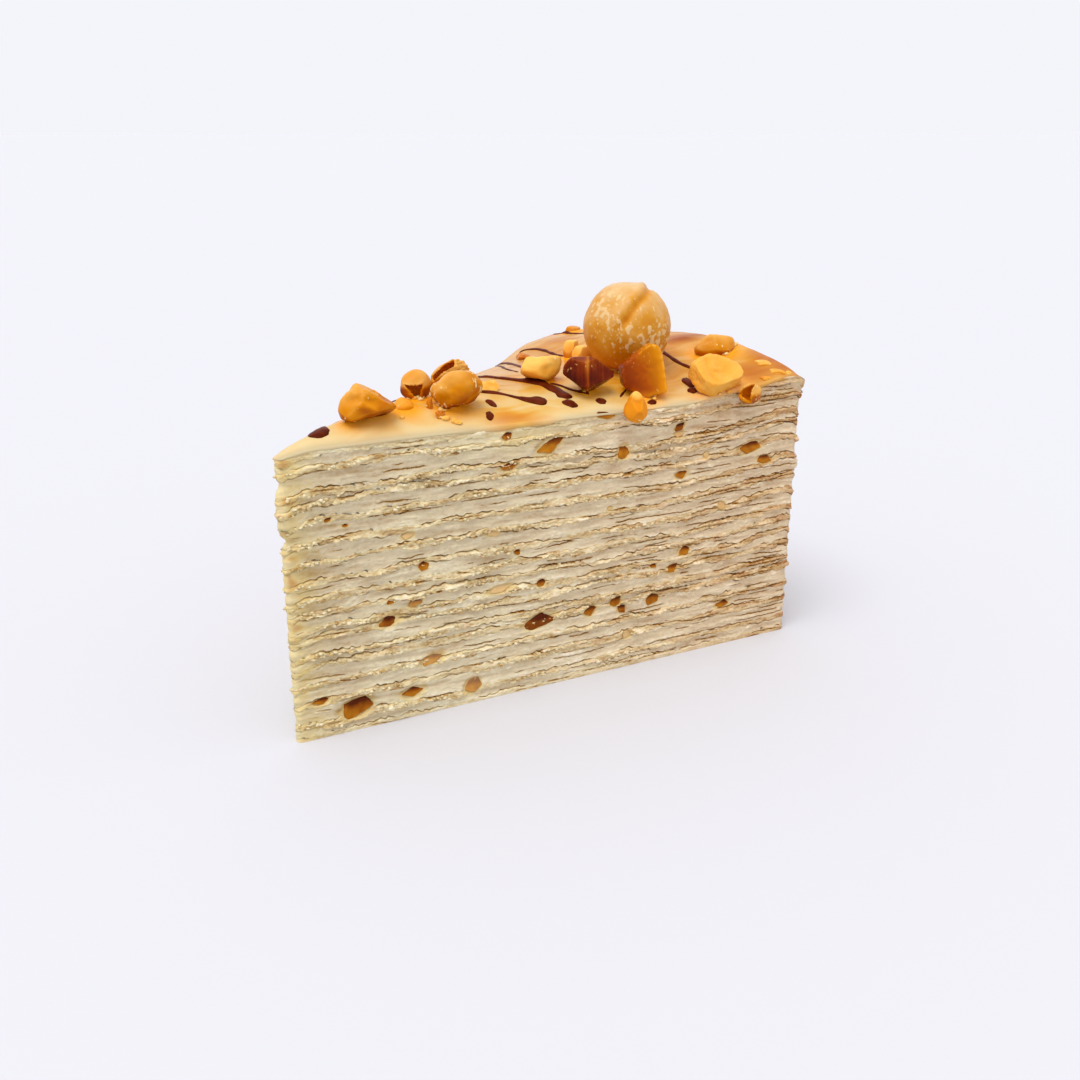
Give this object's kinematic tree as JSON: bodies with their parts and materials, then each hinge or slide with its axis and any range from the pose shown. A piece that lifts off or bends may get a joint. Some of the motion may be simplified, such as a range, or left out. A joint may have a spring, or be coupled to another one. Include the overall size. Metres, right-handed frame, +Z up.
{
  "type": "crepe cake",
  "caption": "Wedge slice of crepe cake: thin crepes stacked with cream between them, topped with caramel glaze, chocolate drizzle and caramelised nut pieces.",
  "frame": {"origin": "under the middle of the slice's bounding box, on the surface that it stands on", "axes": "+X along the front cut face from the tip of the wedge to the rim, +Y away from the front cut face into the slice, +Z up"},
  "size_m": [0.1176, 0.078, 0.0785],
  "materials": {
    "crepe": null,
    "cream": null,
    "top_crepe": "golden crepe under a thin caramel glaze",
    "caramel_glaze": "thin clear caramel glaze, glossy, amber where it pools",
    "chocolate": "set dark chocolate drizzle, satin",
    "amber_caramel": "nut piece in clear amber caramel, glossy and translucent",
    "dark_caramel": "dark burnt caramel, glossy",
    "pale_nut": "roasted pale nut with a thin caramel coat, satin",
    "whole_nut": "whole roasted nut in thin caramel with pale flecks of sugar"
  },
  "bodies": {
    "root": {"back_caramel": "amber_caramel", "brittle_slab": "amber_caramel", "caramel_chunk_tip": "amber_caramel", "cream_01": "cream", "cream_02": "cream", "cream_03": "cream", "cream_04": "cream", "cream_05": "cream", "cream_06": "cream", "cream_07": "cream", "cream_08": "cream", "cream_09": "cream", "cream_10": "cream", "cream_11": "cream", "cream_12": "cream", "cream_13": "cream", "cream_14": "cream", "cream_15": "cream", "cream_16": "cream", "cream_17": "cream", "crepe_01": "crepe", "crepe_02": "crepe", "crepe_03": "crepe", "crepe_04": "crepe", "crepe_05": "crepe", "crepe_06": "crepe", "crepe_07": "crepe", "crepe_08": "crepe", "crepe_09": "crepe", "crepe_10": "crepe", "crepe_11": "crepe", "crepe_12": "crepe", "crepe_13": "crepe", "crepe_14": "crepe", "crepe_15": "crepe", "crepe_16": "crepe", "crepe_17": "crepe", "crepe_18": "top_crepe", "curled_shell": "amber_caramel", "dark_caramel": "dark_caramel", "edge_curl": "amber_caramel", "edge_drop": "pale_nut", "nut_bit_tip": "amber_caramel", "nut_block": "pale_nut", "nut_half": "pale_nut", "nut_sliver_back": "pale_nut", "nut_sliver_front": "pale_nut", "rim_nut_block": "amber_caramel", "round_nut": "amber_caramel", "split_shell": "pale_nut", "whole_nut": "whole_nut"}
  },
  "joints": []
}
